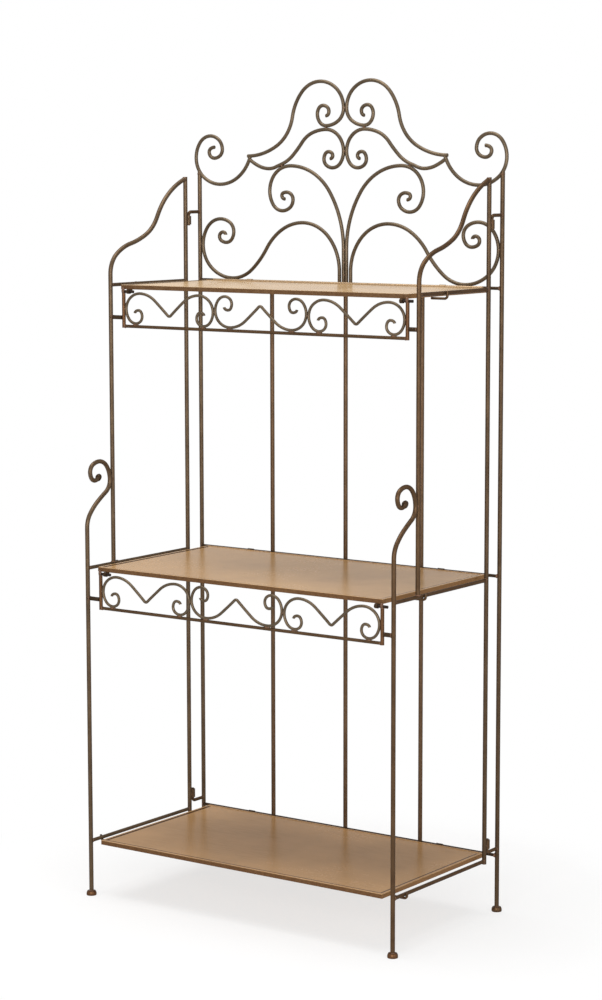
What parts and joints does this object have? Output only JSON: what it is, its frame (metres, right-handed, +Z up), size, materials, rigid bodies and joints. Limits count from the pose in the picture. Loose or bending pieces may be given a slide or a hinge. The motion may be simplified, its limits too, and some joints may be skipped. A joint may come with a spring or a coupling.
{
  "type": "bakers rack",
  "caption": "Folding bakers rack of bent round steel rod with hinged sheet shelves, a tall scrolled crest, swinging scrolled valances and hinged side frames on button feet.",
  "frame": {"origin": "on the floor under the middle of the rack", "axes": "+Z up, the front faces -Y, +X to the right as seen from the front"},
  "size_m": [0.7754, 0.4039, 1.6781],
  "materials": {
    "rod_paint": "satin antique bronze paint",
    "shelf_paint": "satin tan-brown paint",
    "dark_hardware": "satin black-brown"
  },
  "bodies": {
    "back_frame": {"left_shoulder_scroll": "rod_paint", "left_crown_scroll": "rod_paint", "left_inner_scroll": "rod_paint", "left_tall_stem_scroll": "rod_paint", "left_low_stem_scroll": "rod_paint", "right_shoulder_scroll": "rod_paint", "right_crown_scroll": "rod_paint", "right_inner_scroll": "rod_paint", "right_tall_stem_scroll": "rod_paint", "right_low_stem_scroll": "rod_paint", "left_back_upright": "rod_paint", "right_back_upright": "rod_paint", "bottom_crossbar": "rod_paint", "middle_crossbar": "rod_paint", "top_crossbar": "rod_paint", "inner_back_bars": "rod_paint", "upper_hinge_hooks": "rod_paint", "lower_hinge_hooks": "rod_paint", "back_feet": "rod_paint"},
    "left_side": {"left_rear_post": "rod_paint", "left_front_leg": "rod_paint", "left_upper_front_rod": "rod_paint", "left_bottom_rail": "rod_paint", "left_middle_rail": "rod_paint", "left_top_rail": "rod_paint", "left_hinge_eyes": "rod_paint", "left_shelf_hooks": "rod_paint", "left_valance_stubs": "dark_hardware", "left_front_foot": "rod_paint"},
    "right_side": {"right_rear_post": "rod_paint", "right_front_leg": "rod_paint", "right_upper_front_rod": "rod_paint", "right_bottom_rail": "rod_paint", "right_middle_rail": "rod_paint", "right_top_rail": "rod_paint", "right_hinge_eyes": "rod_paint", "right_shelf_hooks": "rod_paint", "right_valance_stubs": "dark_hardware", "right_front_foot": "rod_paint"},
    "bottom_shelf": {"bottom_shelf_tray": "shelf_paint", "bottom_shelf_straps": "rod_paint"},
    "middle_shelf": {"middle_shelf_tray": "shelf_paint", "middle_shelf_straps": "rod_paint", "middle_valance_lugs": "rod_paint"},
    "top_shelf": {"top_shelf_tray": "shelf_paint", "top_shelf_straps": "rod_paint", "top_valance_lugs": "rod_paint"},
    "middle_valance": {"middle_valance_uprights": "rod_paint", "middle_valance_pins": "dark_hardware", "middle_valance_rail": "rod_paint", "middle_valance_left_scroll": "rod_paint", "middle_valance_centre_scroll": "rod_paint", "middle_valance_right_scroll": "rod_paint"},
    "top_valance": {"top_valance_uprights": "rod_paint", "top_valance_pins": "dark_hardware", "top_valance_rail": "rod_paint", "top_valance_left_scroll": "rod_paint", "top_valance_centre_scroll": "rod_paint", "top_valance_right_scroll": "rod_paint"}
  },
  "joints": [
    {"name": "left_side_hinge", "type": "hinge", "parent": "back_frame", "child": "left_side", "pos_m": [-0.375, 0.15176, 0.769], "axis": [0, 0, -1], "range_deg": [0, 90]},
    {"name": "right_side_hinge", "type": "hinge", "parent": "back_frame", "child": "right_side", "pos_m": [0.375, 0.15176, 0.769], "axis": [0, 0, 1], "range_deg": [0, 90]},
    {"name": "bottom_shelf_hinge", "type": "hinge", "parent": "back_frame", "child": "bottom_shelf", "pos_m": [0, 0.1865, 0.1171], "axis": [-1, 0, 0], "range_deg": [0, 90]},
    {"name": "middle_shelf_hinge", "type": "hinge", "parent": "back_frame", "child": "middle_shelf", "pos_m": [0, 0.1865, 0.6891], "axis": [-1, 0, 0], "range_deg": [0, 90]},
    {"name": "top_shelf_hinge", "type": "hinge", "parent": "back_frame", "child": "top_shelf", "pos_m": [0, 0.1865, 1.26255], "axis": [-1, 0, 0], "range_deg": [0, 90]},
    {"name": "middle_valance_hinge", "type": "hinge", "parent": "middle_shelf", "child": "middle_valance", "pos_m": [0, -0.1915, 0.67805], "axis": [1, 0, 0], "range_deg": [0, 80]},
    {"name": "top_valance_hinge", "type": "hinge", "parent": "top_shelf", "child": "top_valance", "pos_m": [0, -0.1085, 1.2495], "axis": [1, 0, 0], "range_deg": [0, 80]}
  ]
}
